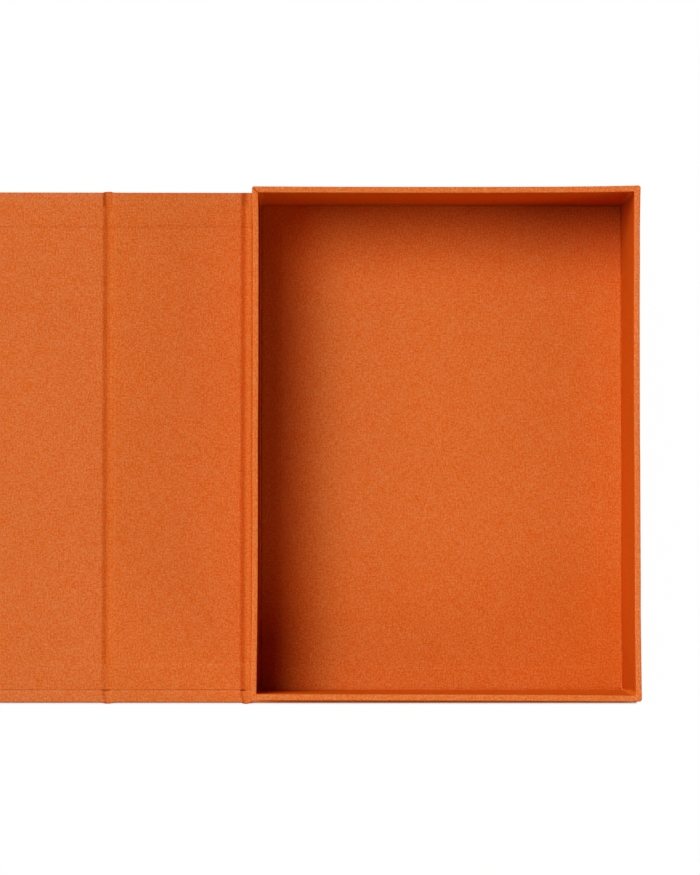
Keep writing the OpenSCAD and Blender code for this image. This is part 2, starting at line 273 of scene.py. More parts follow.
def case_tone_and_painted_light(p):
    """The case: deeper on the spine as painted shade, paler where the cloth is turned in, painted shade in the crease
    by the tray, in the joints' grooves and on the tail edge's underside, and painted highlights along edges.
    """
    # Painted shade: deeper on the spine, and darker in red by the tray's foot
    spine = smooth((p.x - FRONT_HIGH.x) / (8 * MM))
    foot_shade = smooth((p.x - BACK_LOW.x) / (2 * MM) + 2) * (1 - smooth((p.x - BACK_LOW.x) / (2.5 * MM) + 1))
    strip = smooth((abs(p.y) - LINING_HALF_L) / (0.4 * MM) + 0.5)
    # Painted shade in the crease beside the tray's wall
    crease_shade = 1 - 0.21 * math.exp(-((p.x - TRAY_LOW.x + 1.5 * MM) / (0.6 * MM)) ** 2)
    # A painted highlight line a little out from the lining's tail edge
    tail_line_highlight = math.exp(-((p.y + LINING_HALF_L + TAIL_HIGHLIGHT_OUT) / (0.5 * MM)) ** 2)
    # Painted shade in the slit at the lining's tail edge, darkest where a joint's groove opens it
    *slit_zone, darkness = SPINE_SLIT_SHADE if p.x > SPINE_LOW.x else COVER_SLIT_SHADE
    gape = steepness(p.x, slit_zone)
    slit_y, slit_width = (0.35 + 0.25 * gape) * MM, (0.3 + 0.25 * gape) * MM
    slit_shade = math.exp(-((p.y + LINING_HALF_L + slit_y) / slit_width) ** 2) * (0.25 + darkness * gape)
    # A painted highlight along the line where the tail's turned-in cloth ends under the lining
    swell = math.exp(-((p.y - TAIL_EDGE) / (1.3 * MM)) ** 2)
    inside = 1.0 if p.z > 0.35 * PANEL_T else 0.0
    groove = strip_groove(p.x, p.y) if strip > 0.5 else lining_groove(p.x)
    if strip < 0.5:
        inside *= groove_share(p.x, p.y)
    # Painted shade in the grooves, deepest where they fall, with a painted highlight on the spine board's edge and
    # painted shade just before it
    sunk = inside * drop(p.x, groove) / (1.1 * MM)
    steep_shade = inside * steepness(p.x, groove) * (1 + (0.6 * strip if p.y > 0 else -0.2 * strip))
    edge = strip * inside * math.exp(-((p.x - SPINE_LOW.x - 1 * MM) / (0.6 * MM)) ** 2)
    dent_shade = strip * inside * math.exp(-((p.x - SPINE_LOW.x + 0.7 * MM) / (0.6 * MM)) ** 2)
    # Painted shade on the tail edge's underside, lighter under the tray and where the joints swell out
    if p.z < PANEL_T - drop(p.x, groove) - 0.4 * MM:
        by_tray = smooth((p.x - BACK_LOW.x) / (20 * MM))
        shade = (0.62 - 0.5 * by_tray) * (1 - 0.8 * bulge(p.x))
        crease_shade *= 1 - shade * smooth((-p.y - PANEL_HALF_L) / (0.8 * MM) + 1)
    red = 0.985 - 0.016 * spine - 0.08 * foot_shade + 0.04 * tail_line_highlight - 0.02 * sunk - 0.04 * dent_shade - 0.04 * steep_shade
    green = 1 + 0.06 * strip + 0.08 * tail_line_highlight - 0.1 * sunk + 0.1 * edge - 0.1 * dent_shade - 0.17 * steep_shade
    blue = 1 + 0.22 * strip + 0.15 * tail_line_highlight - 0.3 * sunk + 0.3 * edge - 0.2 * dent_shade - 0.36 * steep_shade
    red -= 0.25 * slit_shade
    green += 0.06 * swell - 0.33 * slit_shade
    blue += 0.12 * swell - 0.4 * slit_shade
    green *= (1 - 0.05 * spine) * crease_shade ** 2.3
    blue = max(0.2, blue) * (1 - 0.18 * spine) * crease_shade ** 4.8
    return (red * crease_shade, green, blue)


def rim_painted_light(p):
    """The rim, lighter all over as a painted highlight: palest at the fore edge and tail, with a painted highlight
    along the spine side's inner edge and a dark open mitre at the head on the spine side.
    """
    across, down = along_tray(p)
    far = max(smooth((across - 0.5) * 2), smooth((down - 0.5) * 2))
    fore = smooth((across - 0.97) / 0.01)
    tail = smooth((down - 0.97) / 0.01) * (1 - across)
    gap = 1.0
    if across < 0.1 and down < 0.1:
        off = ((p.x - TRAY_LOW.x) - (TRAY_HIGH.y - p.y)) / math.sqrt(2)
        along = (p.x - TRAY_LOW.x) / WALL_T
        gap = 1 - 0.28 * math.exp(-(off / (0.45 * MM)) ** 2) * smooth(along * 3 - 0.3)
    # A painted highlight along the inner edge of the spine side's wall
    inner_edge_highlight = smooth((WALL_T - p.x + TRAY_LOW.x) / (0.3 * MM) + 1) * smooth((p.x - TRAY_LOW.x - WALL_T) / (0.4 * MM) + 2)
    red = 1.07 + 0.04 * far + 0.03 * fore + 0.09 * inner_edge_highlight
    green = 1.12 + 0.08 * fore + 0.08 * tail
    blue = 1.1 + 0.2 * fore + 0.06 * tail
    return (red * gap, green * gap ** 2, blue * gap ** 3)


def aside_and_painted_light_at(p):
    """How much of each colour is left where the cloth is seen from the side; on the inner walls this also holds painted
    light and shade, different on each wall: lighter high on the head wall, dark on the spine side's wall, darker at the
    tail wall's spine end and at the fore wall's ends.
    """
    across, down = along_tray(p)
    up = (p.z - FLOOR_TOP) / (RIM_Z - FLOOR_TOP)
    if not in_tray(p) or p.z < FLOOR_TOP + 3 * MM or p.z > RIM_Z - 0.6 * MM:
        return ASIDE
    if p.y > TRAY_HIGH.y - WALL_T - 1 * MM:
        red = 1.16 + 0.39 * up - 0.2 * smooth((across - 0.55) / 0.4)
        red *= 1 - 0.22 * smooth(1 - up / 0.22) * smooth(across / 0.3)
        green = 0.9 + 0.44 * up - 0.4 * across ** 2 * (1.3 - 0.6 * up)
        if p.x > TRAY_HIGH.x - WALL_T - 0.8 * MM and p.y < TRAY_HIGH.y - WALL_T + 0.6 * MM:
            return (0.68 * red, 0.6 * green, 0)
        return (red, green, 0)
    if p.y < TRAY_LOW.y + WALL_T + 1 * MM:
        dusk = math.exp(-across / 0.085)
        tilt = dusk * (2 * up - 1)
        red = (1.62 - 0.25 * across) * (1 - 0.65 * dusk) * (1 + 1.1 * tilt)
        return (red, 1.36 * (1 - 0.9 * dusk) * max(0.2, 1 + 1.7 * tilt), 0.4 * (1 - dusk))
    if p.x < TRAY_LOW.x + WALL_T + 1.5 * MM:
        return (0.42, 0.24, 0)
    head = math.exp(-down / 0.06)
    tail = smooth((down - 0.75) / 0.2)
    return (1.08 - 0.38 * head - 0.07 * tail, 0.625 - 0.5 * head - 0.06 * tail, 0)


def drop(x, groove):
    """How far the inner cloth lies below the panels at x."""
    start, fall, rise, depth, end_depth = groove
    for low, high in GAPS:
        if low < x <= high:
            down = depth * smooth((x - low - start) / fall)
            return down - (depth - end_depth) * smooth((x - high) / rise + 1)
        if high < x < high + SLACK:
            return end_depth * (1 - smooth((x - high) / SLACK))
    return 0.0


def lining_groove(x):
    """Shape of the lining's groove nearest to x."""
    return COVER_GROOVE if x < SPINE_LOW.x + SLACK else SPINE_GROOVE


def groove_share(x, y):
    """How much of a groove is left where the lining lies on the cloth turned in at the tail."""
    loss = COVER_TAIL_LOSS if x < SPINE_LOW.x + SLACK else SPINE_TAIL_LOSS
    return 1 - loss * smooth((TAIL_EDGE - y) / (5 * MM) + 1)


def lining_drop(x, y):
    """How far the lining lies below the panels."""
    return drop(x, lining_groove(x)) * groove_share(x, y)


def steepness(x, groove):
    """1 where a groove falls most steeply, 0 outside its fall."""
    for low, high in GAPS:
        t = (x - low - groove[0]) / groove[1]
        if low < x <= high and 0 < t < 1:
            return 4 * t * (1 - t)
    return 0.0


def arch(x):
    """Share of the outer cloth's arch at x: 0 on the panels, 1 along the middle of a joint."""
    for low, high in GAPS:
        if low < x < high:
            return 0.5 - 0.5 * math.cos(2 * math.pi * (x - low) / (high - low))
    return 0.0


def climb(x, y):
    """How far a case lining has climbed over the turned-in cloth below it, from 0 to 1."""
    fore = (FRONT_LOW.x + FORE_TURN_IN - x) / RAMP + 1
    return max(smooth((y - HEAD_EDGE) / RAMP + 1), smooth((TAIL_EDGE - y) / RAMP + 1), smooth(fore))


def eased(distance, radius):
    """Drop of a surface near a cut edge that is rounded with a radius."""
    if distance >= radius:
        return 0.0
    return radius - math.sqrt(max(0.0, radius * radius - (radius - distance) ** 2))


def closed_sheet(xs, ys, upper, lower):
    """Points and faces of a closed sheet over a grid."""
    rows = len(ys)
    count = len(xs) * rows
    points = [upper(x, y) for x in xs for y in ys] + [lower(x, y) for x in xs for y in ys]
    faces = []
    for i in range(len(xs) - 1):
        for j in range(rows - 1):
            a, b = i * rows + j, (i + 1) * rows + j
            faces.append((a, b, b + 1, a + 1))
            faces.append((count + a, count + a + 1, count + b + 1, count + b))
    for i in range(len(xs) - 1):
        a, b = i * rows, (i + 1) * rows
        faces.append((a, count + a, count + b, b))
        a, b = a + rows - 1, b + rows - 1
        faces.append((b, count + b, count + a, a))
    for j in range(rows - 1):
        faces.append((j, j + 1, count + j + 1, count + j))
        a = (len(xs) - 1) * rows + j
        faces.append((a + 1, a, count + a, count + a + 1))
    return points, faces


def case_lining(name, nodes, body, x0, x1, cut_low=False, step_x=7 * MM):
    """A stretch of the case's lining. cut_low says that its low edge in X is a cut edge."""
    ease = 0.16 * MM
    edge_zones = [(-LINING_HALF_L, 0.6 * MM, 0.06 * MM), (LINING_HALF_L, 0.6 * MM, 0.06 * MM)]
    ramp_zones = [(TAIL_EDGE + RAMP / 2, RAMP, 0.3 * MM), (HEAD_EDGE - RAMP / 2, RAMP, 0.3 * MM)]
    ys = lines(-LINING_HALF_L, LINING_HALF_L, 7 * MM, edge_zones + ramp_zones)
    x_zones = []
    if cut_low:
        x_zones = [(x0, 0.6 * MM, 0.06 * MM), (FRONT_LOW.x + FORE_TURN_IN + RAMP / 2, RAMP, 0.3 * MM)]
    x_zones += [(high + SLACK / 2, SLACK / 2, 0.3 * MM) for low, high in GAPS]
    xs = lines(x0, x1, step_x, x_zones)

    def place(x, y, z):
        wander = smooth((abs(y) - LINING_HALF_L) / (2 * MM) + 1)
        return (x, y + wander * waver(x, y, 0, 40 * MM, 0.12 * MM), z)

    def upper(x, y):
        z = PANEL_T + TELEGRAPH * climb(x, y) - lining_drop(x, y)
        z += waver(x, y, 0, 55 * MM, 0.06 * MM) + waver(x, y, 7, 14 * MM, 0.02 * MM)
        edge = LINING_HALF_L - abs(y)
        if cut_low:
            edge = min(edge, x - x0)
        return place(x, y, z - eased(edge, ease))

    def lower(x, y):
        on_board = any(abs(x - high - SLACK / 2) <= SLACK / 2 for low, high in GAPS)
        lie = 0.0 if on_board else lining_drop(x, y)
        return place(x, y, PANEL_T - CLOTH + CLOTH * climb(x, y) - lie)

    points, faces = closed_sheet(xs, ys, upper, lower)
    return add_piece(name, points, faces, body, nodes, "lining_cloth")


def section_path(ys, arc_steps=5):
    """Way round a panel's section: (y of the core, top or bottom, outward direction in y and z)."""
    path = [(y, 1, 0.0, 1.0) for y in ys]
    quarter = [math.pi / 2 * k / arc_steps for k in range(arc_steps + 1)]
    path += [(ys[-1], 1, math.sin(a), math.cos(a)) for a in quarter[1:]]
    path += [(ys[-1], -1, math.cos(a), -math.sin(a)) for a in quarter]
    path += [(y, -1, 0.0, -1.0) for y in reversed(ys[:-1])]
    path += [(ys[0], -1, -math.sin(a), -math.cos(a)) for a in quarter[1:]]
    path += [(ys[0], 1, -math.cos(a), math.sin(a)) for a in quarter[:-1]]
    return path


def strip_groove(x, y):
    """Shape of the turned-in cloth's groove nearest to x. At the tail it sweeps towards the tray."""
    on_cover = x < SPINE_LOW.x + SLACK
    if y < 0:
        start, *rest = COVER_TAIL_GROOVE if on_cover else SPINE_TAIL_GROOVE
        out = max(0.0, -y - LINING_HALF_L) / (PANEL_HALF_L - LINING_HALF_L)
        return (start + TAIL_SWEEP * min(0.85, out) ** 2, *rest)
    return COVER_HEAD_GROOVE if on_cover else SPINE_HEAD_GROOVE


def strip_drop(x, y):
    """How far the turned-in cloth lies below the panels."""
    return drop(x, strip_groove(x, y))


def bulge(x):
    """Share by which the cloth swells out of the tail's edge line, from within a joint to a little past it."""
    for low, high in GAPS:
        if low < x < high + SLACK:
            return smooth((x - low - 1.5 * MM) / (2.5 * MM)) * (1 - smooth((x - high) / SLACK))
    return 0.0


def head_shift(x):
    """How far the case's head edge stands out at x."""
    return HEAD_GIVE[0 if x < SPINE_LOW.x + SLACK else 1] * strip_drop(x, 1)


def tail_shift(x):
    """How far the case's tail edge stands out at x: out at the joints, in at the fore edge's round corner."""
    swell = TAIL_SWELL if x < SPINE_LOW.x + SLACK else SPINE_JOINT_SWELL
    out = 0.3 * strip_drop(x, 1) + swell * bulge(x)
    trim = TAIL_TRIM * (1 - 0.5 * smooth((x - BACK_LOW.x) / (20 * MM)))
    return out - trim - CORNER_TRIM * smooth((x - BACK_HIGH.x) / (4 * MM) + 1)


def case_top(x, y):
    """Height of the turned-in cloth."""
    return PANEL_T - strip_drop(x, y)


def case_bottom(x):
    """Height of the outer cloth's outer face at x."""
    return ARCH * arch(x)


def case_cloth(name, nodes, body, x0, x1, fore=0, step_x=7 * MM):
    """The outer cloth over a stretch of the case, with its free edges folded round and turned in.

    fore is -1 or 1 where the stretch ends in a fore edge at x0 or x1.
    """
    core_l = PANEL_HALF_L - TAIL_R - TAIL_TRIM
    zones = [(TAIL_EDGE, 0.5 * MM, 0.25 * MM), (HEAD_EDGE, 0.5 * MM, 0.25 * MM)]
    zones += [(-LINING_HALF_L - 4.2 * MM, 3.2 * MM, 0.8 * MM), (-LINING_HALF_L - TAIL_HIGHLIGHT_OUT / 2, 1.5 * MM, 0.15 * MM)]
    ys = lines(-core_l, core_l, 7 * MM, zones + [(s * core_l, 0.6 * MM, 0.3 * MM) for s in (-1, 1)])
    path = section_path(ys)
    flat_low = x0 + (EDGE_R if fore < 0 else 0)
    flat_high = x1 - (EDGE_R if fore > 0 else 0)
    fore_in = flat_low + FORE_TURN_IN - EDGE_R if fore < 0 else flat_high - FORE_TURN_IN + EDGE_R
    x_zones = [(fore_in, 0.5 * MM, 0.25 * MM)] if fore else []
    x_zones += [(high + SLACK / 2, SLACK / 2, 0.3 * MM) for low, high in GAPS]
    sections = [(x, 0.0) for x in lines(flat_low, flat_high, step_x, x_zones)]
    tilts = [math.pi / 2 * k / 5 for k in range(1, 6)]
    if fore < 0:
        sections = [(flat_low, -a) for a in reversed(tilts)] + sections
    if fore > 0:
        sections += [(flat_high, a) for a in tilts]

    bm = bmesh.new()
    rings = []
    for x, tilt in sections:
        bottom = case_bottom(x)
        ring = []
        for y, side, ny, nz in path:
            top = case_top(x, y)
            r = min(EDGE_R if y > 0 else TAIL_R, (top - bottom) / 2)
            end = PANEL_HALF_L - r + (head_shift(x) if y > 0 else tail_shift(x))
            out = r * math.cos(tilt)
            at_x = x + r * math.sin(tilt)
            at_y = math.copysign(end, y) if abs(y) > core_l - 0.001 * MM else y
            core_z = top - r if side > 0 else bottom + r
            ring.append(bm.verts.new((at_x, at_y + out * ny, core_z + out * nz)))
        rings.append(ring)
    last = len(path)
    for i in range(len(rings) - 1):
        middle_x = (rings[i][0].co.x + rings[i + 1][0].co.x) / 2
        in_window = fore == 0 or (middle_x - fore_in) * fore < 0
        for k in range(last):
            middle_y = (path[k][0] + path[(k + 1) % last][0]) / 2
            on_top = path[k][3] == 1.0 and path[(k + 1) % last][3] == 1.0
            if in_window and on_top and TAIL_EDGE < middle_y < HEAD_EDGE:
                continue
            k2 = (k + 1) % last
            bm.faces.new((rings[i][k], rings[i + 1][k], rings[i + 1][k2], rings[i][k2]))
    if fore:
        close_end(bm, rings[0] if fore < 0 else rings[-1], len(ys), 5)
    bmesh.ops.remove_doubles(bm, verts=bm.verts, dist=0.001 * MM)
    bmesh.ops.recalc_face_normals(bm, faces=bm.faces)
    if fore:
        for end_y in (-PANEL_HALF_L, PANEL_HALF_L):
            cut_mitre(bm, Vector((x0 if fore < 0 else x1, end_y)), fore)
    for vertex in bm.verts:
        p = vertex.co
        if p.z > PANEL_T - 0.01 * MM:
            p.z += waver(p.x, p.y, 3, 40 * MM, 0.04 * MM)
    return add_shell(name, bm, body, nodes, "bookcloth")


def close_end(bm, ring, count, arc_steps):
    """Closes the flat end of a section between its top row and its bottom row."""
    top = ring[:count]
    bottom_start = count + 2 * arc_steps
    bottom = [ring[bottom_start + k] for k in range(count)]
    bottom.reverse()
    for k in range(count - 1):
        bm.faces.new((top[k], top[k + 1], bottom[k + 1], bottom[k]))


def cut_mitre(bm, corner, fore):
    """Presses the open line of a mitre into the turned-in cloth at a fore corner."""
    inward = Vector((-fore, -math.copysign(1.0, corner.y))).normalized()
    across = Vector((-inward.y, inward.x, 0))
    reach = FORE_TURN_IN + 1 * MM
    for offset in (-0.3 * MM, 0.0, 0.3 * MM):
        faces = [
            f for f in bm.faces
            if f.normal.z > 0.9
            and all(abs(v.co.x - corner.x) < reach and abs(v.co.y - corner.y) < reach for v in f.verts)
        ]
        edges = {e for f in faces for e in f.edges}
        verts = {v for f in faces for v in f.verts}
        origin = Vector((corner.x, corner.y, 0)) + across * offset
        bmesh.ops.bisect_plane(
            bm, geom=list(verts) + list(edges) + faces, dist=0.001 * MM, plane_co=origin, plane_no=across
        )
    for v in bm.verts:
        from_corner = Vector((v.co.x - corner.x, v.co.y - corner.y, 0))
        if v.co.z > PANEL_T - 0.3 * MM and from_corner.length < reach * 1.42:
            if abs(from_corner.dot(across)) < 0.05 * MM:
                v.co.z -= 0.22 * MM


def add_shell(name, bm, body, nodes, slot, thickness=None, aside_and_painted_light=None):
    """Turns the outer surface in bm into a closed cloth of even thickness that lies inside it."""
    mesh = bpy.data.meshes.new(name)
    bm.to_mesh(mesh)
    bm.free()
    piece = bpy.data.objects.new(name, mesh)
    bpy.context.scene.collection.objects.link(piece)
    solid = piece.modifiers.new("thickness", "SOLIDIFY")
    solid.thickness = thickness or CLOTH
    solid.offset = -1
    solid.use_even_offset = True
    apply_modifiers(piece)
    dress(piece, body, nodes, slot, aside_and_painted_light)
    return piece


def apply_modifiers(piece):
    """Leaves the modified mesh on the piece and takes its modifiers off."""
    graph = bpy.context.evaluated_depsgraph_get()
    made = bpy.data.meshes.new_from_object(piece.evaluated_get(graph))
    old = piece.data
    piece.modifiers.clear()
    piece.data = made
    made.name = piece.name
    bpy.data.meshes.remove(old)


def wrap_profile():
    """Section of the tray's wrap through a wall: (distance in from the outer face, height)."""
    foot_r, rim_r, inner_r, fillet = 0.5 * MM, 0.55 * MM, 0.5 * MM, 0.7 * MM
    low, floor, rim = TRAY_LOW.z, FLOOR_TOP + CLOTH, RIM_Z

    def arc(u, z, r, start, end, steps=5):
        angles = [math.radians(start + (end - start) * k / steps) for k in range(steps + 1)]
        return [(u + r * math.cos(a), z + r * math.sin(a)) for a in angles]

    path = [(UNDER_TURN_IN, low), (UNDER_TURN_IN / 2, low), (foot_r + 0.4 * MM, low)]
    path += arc(foot_r, low + foot_r, foot_r, 270, 180)
    path += [(0, z) for z in lines(low + foot_r + 0.5 * MM, rim - rim_r - 0.4 * MM, 6 * MM)]
    path += arc(rim_r, rim - rim_r, rim_r, 180, 90)
    path += [(WALL_T / 2, rim + 0.06 * MM)]
    path += arc(WALL_T - inner_r, rim - inner_r, inner_r, 90, 0)
    path += [(WALL_T, z) for z in reversed(lines(floor + fillet + 0.4 * MM, rim - inner_r - 0.4 * MM, 6 * MM))]
    path += arc(WALL_T + fillet, floor + fillet, fillet, 180, 270)
    path += [(WALL_T + fillet + 0.5 * MM, floor), (WALL_T + FLOOR_TURN_IN, floor)]
    return path


def loop_points(half_w, half_l, radii, along, arc_steps=6):
    """A rectangle with round corners: (x, y, closeness to the middle of a corner, 0 to 1).

    radii are those of the corners in order: fore edge head, spine head, spine tail, fore edge tail.
    """
    centres = [(1, 1, 0), (-1, 1, 90), (-1, -1, 180), (1, -1, 270)]
    found = []
    for index, (sx, sy, start) in enumerate(centres):
        r, next_r = radii[index], radii[(index + 1) % 4]
        cx, cy = sx * (half_w - r), sy * (half_l - r)
        for k in range(arc_steps + 1):
            a = math.radians(start + 90 * k / arc_steps)
            near = 1 - abs(k - arc_steps / 2) / (arc_steps / 2)
            found.append((cx + r * math.cos(a), cy + r * math.sin(a), near))
        nx, ny, nstart = centres[(index + 1) % 4]
        a = math.radians(start + 90)
        begin = Vector((cx + r * math.cos(a), cy + r * math.sin(a)))
        next_centre = Vector((nx * (half_w - next_r), ny * (half_l - next_r)))
        end = next_centre + next_r * Vector((math.cos(a), math.sin(a)))
        span = (end - begin).length
        for p in along(span):
            q = begin.lerp(end, p)
            found.append((q.x, q.y, 0.0))
    return found


def side_shares(span):
    """Shares of a side at which a loop has points: close near the corners, even between."""
    near = [0.15, 0.4, 1.0, 2.5]
    count = 44
    shares = [n * MM / span for n in near]
    inner = [(4 * MM + (span - 8 * MM) * i / count) / span for i in range(count + 1)]
    return shares + inner + [1 - s for s in reversed(shares)]


def tray_shift(x, y, z):
    """How the tray departs from a true box: its walls bow in a little and its corners stand out."""
    up = smooth((z - TRAY_LOW.z) / (RIM_Z - TRAY_LOW.z))
    a, b = x / TRAY_HIGH.x, y / TRAY_HIGH.y
    right = 0.1 - 0.3 * (1 - b * b) + (0.5 * b ** 6 if b > 0 else 0.17 * smooth(0.3 - b / 0.1) + 0.36 * b ** 6)
    right += sum(depth * math.exp(-((b - at) / reach) ** 2) for at, reach, depth in FORE_DENTS)
    left = 0.3 * (1 - b * b) - 0.025 + 0.225 * b + 0.4 * smooth((b + 0.95) / 0.35) - 0.2 * math.exp(-44 * b * b)
    left -= 0.25 * smooth((b - 0.84) / 0.08) + 0.45 * max(0.0, b) ** 30
    head = -0.15 * (1 - a * a) + 0.25 * a + 0.25 * a * a + (0.6 * a ** 6 if a > 0 else 0) + 0.1
    tail = 0.15 * (1 - a * a) - 0.25 * a - 0.12 - 0.1 * a - (0.2 * a ** 6 if a > 0 else 0)
    right_share, head_share = smooth((a + 1) / 2), smooth((b + 1) / 2)
    rim_x = (left + (right - left) * right_share) * MM
    rim_y = (tail + (head - tail) * head_share) * MM
    foot_x = FOOT.x * right_share * (1 - smooth((-b - 0.7) / 0.2))
    foot_y = FOOT.y * head_share + TAIL_FOOT * (1 - head_share)
    return Vector((foot_x + (rim_x - foot_x) * up, foot_y + (rim_y - foot_y) * up, 0))


def ring(bm, u, z, radii, press=0.0, lap=0.0):
    """One loop round the tray at a distance in from its outer faces and a height."""
    loop = []
    for x, y, near in loop_points(TRAY_HIGH.x - u, TRAY_HIGH.y - u, radii, side_shares):
        p = Vector((x - math.copysign(lap * near ** 3, x), y - math.copysign(lap * near ** 3, y), z))
        p.z -= press * near ** 2 * (2.2 if x < 0 < y else 1.0)
        worn = (0.21 if x < 0 else 0.1) * MM * smooth((z - TRAY_LOW.z) / (RIM_Z - TRAY_LOW.z))
        worn *= 1 - smooth((y / TRAY_HIGH.y - 0.84) / 0.08)
        p.x -= worn * (1 - 2 * min(u, WALL_T) / WALL_T) * x / TRAY_HIGH.x
        loop.append(bm.verts.new(p + tray_shift(x, y, z)))
    return loop


def join_rings(bm, loops, closed=False):
    """Faces between loops that follow one another."""
    pairs = list(zip(loops, loops[1:])) + ([(loops[-1], loops[0])] if closed else [])
    count = len(loops[0])
    for low, high in pairs:
        for k in range(count):
            k2 = (k + 1) % count
            bm.faces.new((low[k], low[k2], high[k2], high[k]))
    bmesh.ops.recalc_face_normals(bm, faces=bm.faces)


def tray_wrap():
    """The cloth round the tray's walls, over the rim and down inside, mitred at the corners."""
    bm = bmesh.new()
    loops = []
    for u, z in wrap_profile():
        inside = u > WALL_T / 2
        radii = [0.55 * MM] * 4 if inside else [r - 0.2 * u for r in CORNER_R]
        press = 0.2 * MM if z > RIM_Z - 0.5 * MM else 0.0
        lap = 0.2 * MM if u == WALL_T and z > FLOOR_TOP + 2 * MM else 0.0
        loops.append(ring(bm, u, z, radii, press, lap))
    join_rings(bm, loops)
    return add_shell("tray_wrap", bm, "tray_and_back", ["tray_wrap_cloth"], "bookcloth")


def tray_boards():
    """The four wall boards inside the wrap, as one frame that leans with it."""
    bm = bmesh.new()
    outer, inner = 1.1 * CLOTH, WALL_T - 1.1 * CLOTH
    low, high = WALL_LOW.z, RIM_Z - 1.4 * CLOTH
    heights = lines(low, high, 8 * MM)
    section = [(outer, z) for z in heights] + [(inner, z) for z in reversed(heights)]
    loops = [ring(bm, u, z, [max(0.4 * MM, r - u) for r in CORNER_R]) for u, z in section]
    join_rings(bm, loops, closed=True)
    mesh = bpy.data.meshes.new("tray_boards")
    bm.to_mesh(mesh)
    bm.free()
    piece = bpy.data.objects.new("tray_boards", mesh)
    bpy.context.scene.collection.objects.link(piece)
    walls = ["head_wall_board", "tail_wall_board", "spine_wall_board", "fore_edge_wall_board"]
    dress(piece, "tray_and_back", walls, "greyboard")


def corner_lap(name, sx, sy):
    """Where a side wall's wrap laps onto the head or tail wall inside: a flap that widens towards the rim."""
    corner_x, corner_y = sx * (TRAY_HIGH.x - WALL_T), sy * (TRAY_HIGH.y - WALL_T)
    heights = lines(FLOOR_TOP + 3 * MM, RIM_Z - 1.2 * MM, 4 * MM)
    shares = [0.0, 0.3, 0.9, 1.0]
    bm = bmesh.new()
    rows = []
    for z in heights:
        up = (z - heights[0]) / (heights[-1] - heights[0])
        width = (0.6 + (2.6 if sy > 0 else 1.1) * up) * MM
        row = []
        sunk = smooth((z - RIM_Z + 7 * MM) / (5 * MM))
        for t in shares:
            lift = (0.34 if t < 1 else 0.06) * MM
            lift -= (lift + 0.12 * MM) * sunk
            place = Vector((corner_x - sx * (0.3 * MM + width * t), corner_y - sy * lift, z))
            row.append(bm.verts.new(place + tray_shift(corner_x, corner_y, z)))
        rows.append(row)
    for low, high in zip(rows, rows[1:]):
        for k in range(len(shares) - 1):
            bm.faces.new((low[k], low[k + 1], high[k + 1], high[k]))
    bmesh.ops.recalc_face_normals(bm, faces=bm.faces)
    if bm.faces[0].normal.y * sy > 0:
        bmesh.ops.reverse_faces(bm, faces=bm.faces)

    # The lap's colour: a paler cut edge together with a painted highlight along it, over the wall's painted light and
    # shade
    def pale_edge_and_highlight(p):
        red, green, blue = aside_and_painted_light_at(Vector((p.x, corner_y + sy * MM, p.z)))
        fold = smooth((abs(p.x) - abs(corner_x)) / (1.2 * MM) + 1) * smooth((RIM_Z - p.z) / (9 * MM))
        if sx > 0:
            fold *= 2.6 if sy > 0 else 1.8
        if sy > 0:
            return (red * (1.08 + 0.3 * fold), green * (1.25 + 0.6 * fold), blue + 0.3 * fold)
        return (red * (1.03 + 0.1 * fold), green * (1.12 + 0.35 * fold), blue + 0.1 + (1 + 0.5 * sx) * fold)

    return add_shell(name, bm, "tray_and_back", [], "bookcloth", thickness=0.3 * MM, aside_and_painted_light=pale_edge_and_highlight)


def tray_floor_lining():
    """The lining on the tray's floor: a cut sheet that climbs over the turned-in wrap round it."""
    low, high = FLOOR_LINING_LOW, FLOOR_LINING_HIGH
    inner_w = TRAY_HIGH.x - WALL_T - FLOOR_TURN_IN
    inner_l = TRAY_HIGH.y - WALL_T - FLOOR_TURN_IN
    ease = 0.16 * MM

    def zones(end, edge):
        found = []
        for s in (-1, 1):
            found.append((s * (edge - RAMP / 2), RAMP, 0.3 * MM))
            found.append((s * (end - 1.2 * MM), 0.75 * MM, 0.15 * MM))
            found.append((s * end, 0.45 * MM, 0.06 * MM))
        return found

    xs = lines(low.x, high.x, 7 * MM, zones(high.x, inner_w))
    ys = lines(low.y, high.y, 7 * MM, zones(high.y, inner_l))

    def rise(x, y):
        side = smooth((abs(x) - inner_w) / (2.5 * RAMP) + 1)
        end = smooth((y - inner_l - HEAD_NARROWER) / RAMP + 1) if y > 0 else smooth((-y - inner_l) / RAMP + 1)
        return max(0.8 * side if x > 0 else side, end)

    def place(x, y, z):
        near_x = smooth((abs(x) - high.x) / (2 * MM) + 1)
        near_y = smooth((abs(y) - high.y) / (2 * MM) + 1)
        at_x = x + near_x * waver(x, y, 1, 40 * MM, 0.2 * MM) + sheet_shift(y) * smooth(x / high.x)
        at_y = y + near_y * waver(x, y, 2, 40 * MM, 0.2 * MM)
        at_y += 1.3 * FOOT.y * smooth(y / high.y) + TAIL_FOOT * smooth(y / low.y)
        return (at_x, at_y, z)

    def upper(x, y):
        z = FLOOR_TOP + CLOTH * (1 + rise(x, y))
        z += waver(x, y, 4, 70 * MM, 0.06 * MM) + waver(x, y, 5, 16 * MM, 0.02 * MM)
        z += 0.3 * MM * smooth((x - high.x) / (2.5 * MM) + 1)
        z += 0.4 * MM * smooth((x - high.x) / (5 * MM) + 1) * smooth((low.y - y) / (9 * MM) + 1)
        edge = min(high.x - abs(x), high.y - abs(y))
        return place(x, y, z - eased(edge, ease))

    def lower(x, y):
        return place(x, y, FLOOR_TOP + CLOTH * rise(x, y))

    points, faces = closed_sheet(xs, ys, upper, lower)
    return add_piece("tray_floor_sheet", points, faces, "tray_and_back", ["tray_floor_lining"], "lining_cloth")


